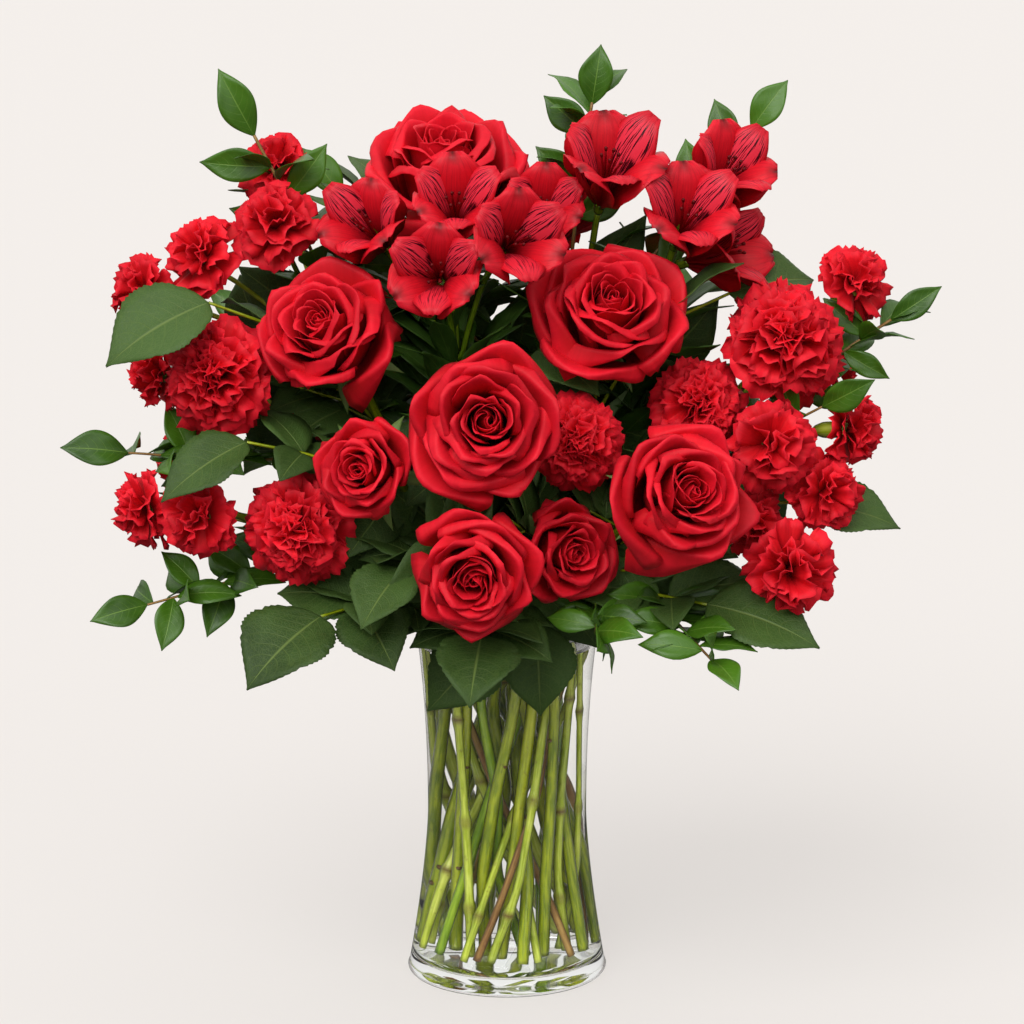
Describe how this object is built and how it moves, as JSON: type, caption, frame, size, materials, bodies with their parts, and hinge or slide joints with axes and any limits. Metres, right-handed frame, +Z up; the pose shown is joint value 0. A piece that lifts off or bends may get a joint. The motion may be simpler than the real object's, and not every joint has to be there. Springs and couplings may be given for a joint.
{
  "type": "roses in a vase",
  "caption": "Mixed bouquet of roses, carnations, alstroemeria and greenery standing in a flared clear glass vase of water.",
  "frame": {"origin": "centre of the vase's underside, on the surface that it stands on", "axes": "+Z up along the vase's axis, -Y towards the front of the bouquet, +X to the right seen from the front"},
  "size_m": [0.4865, 0.3415, 0.5284],
  "materials": {
    "rose_petal": "soft velvety red petals, a little shine on the rolled edges",
    "carnation_petal": "matte ruffled red petals with toothed edges",
    "rose_stem": "smooth yellow-green bark with leaf scars, darker matte leaves",
    "carnation_stem": "waxy pale green stem and cup, swollen at the joints",
    "carnation_spray": "waxy pale green stems and cups under ruffled red heads",
    "alstroemeria": "smooth green stems under red trumpets with dark streaks",
    "green_branch": "red-brown twigs with glossy dark leaves",
    "vase_glass": "clear polished glass",
    "vase_water": "clear still water"
  },
  "bodies": {
    "root": {"alstroemeria_stem_1": "alstroemeria", "alstroemeria_stem_2": "alstroemeria", "alstroemeria_stem_3": "alstroemeria", "carnation_bloom_1": "carnation_petal", "carnation_bloom_2": "carnation_petal", "carnation_bloom_3": "carnation_petal", "carnation_bloom_4": "carnation_petal", "carnation_bloom_5": "carnation_petal", "carnation_bloom_6": "carnation_petal", "carnation_bloom_7": "carnation_petal", "carnation_stem_1": "carnation_stem", "carnation_stem_2": "carnation_stem", "carnation_stem_3": "carnation_stem", "carnation_stem_4": "carnation_stem", "carnation_stem_5": "carnation_stem", "carnation_stem_6": "carnation_stem", "carnation_stem_7": "carnation_stem", "green_branch_1": "green_branch", "green_branch_2": "green_branch", "green_branch_3": "green_branch", "green_branch_4": "green_branch", "mini_carnation_spray_1": "carnation_spray", "mini_carnation_spray_2": "carnation_spray", "mini_carnation_spray_3": "carnation_spray", "mini_carnation_spray_4": "carnation_spray", "mini_carnation_spray_5": "carnation_spray", "rose_bloom_1": "rose_petal", "rose_bloom_10": "rose_petal", "rose_bloom_11": "rose_petal", "rose_bloom_2": "rose_petal", "rose_bloom_3": "rose_petal", "rose_bloom_4": "rose_petal", "rose_bloom_5": "rose_petal", "rose_bloom_6": "rose_petal", "rose_bloom_7": "rose_petal", "rose_bloom_8": "rose_petal", "rose_bloom_9": "rose_petal", "rose_stem_1": "rose_stem", "rose_stem_10": "rose_stem", "rose_stem_11": "rose_stem", "rose_stem_2": "rose_stem", "rose_stem_3": "rose_stem", "rose_stem_4": "rose_stem", "rose_stem_5": "rose_stem", "rose_stem_6": "rose_stem", "rose_stem_7": "rose_stem", "rose_stem_8": "rose_stem", "rose_stem_9": "rose_stem", "vase": "vase_glass", "water": "vase_water"}
  },
  "joints": []
}
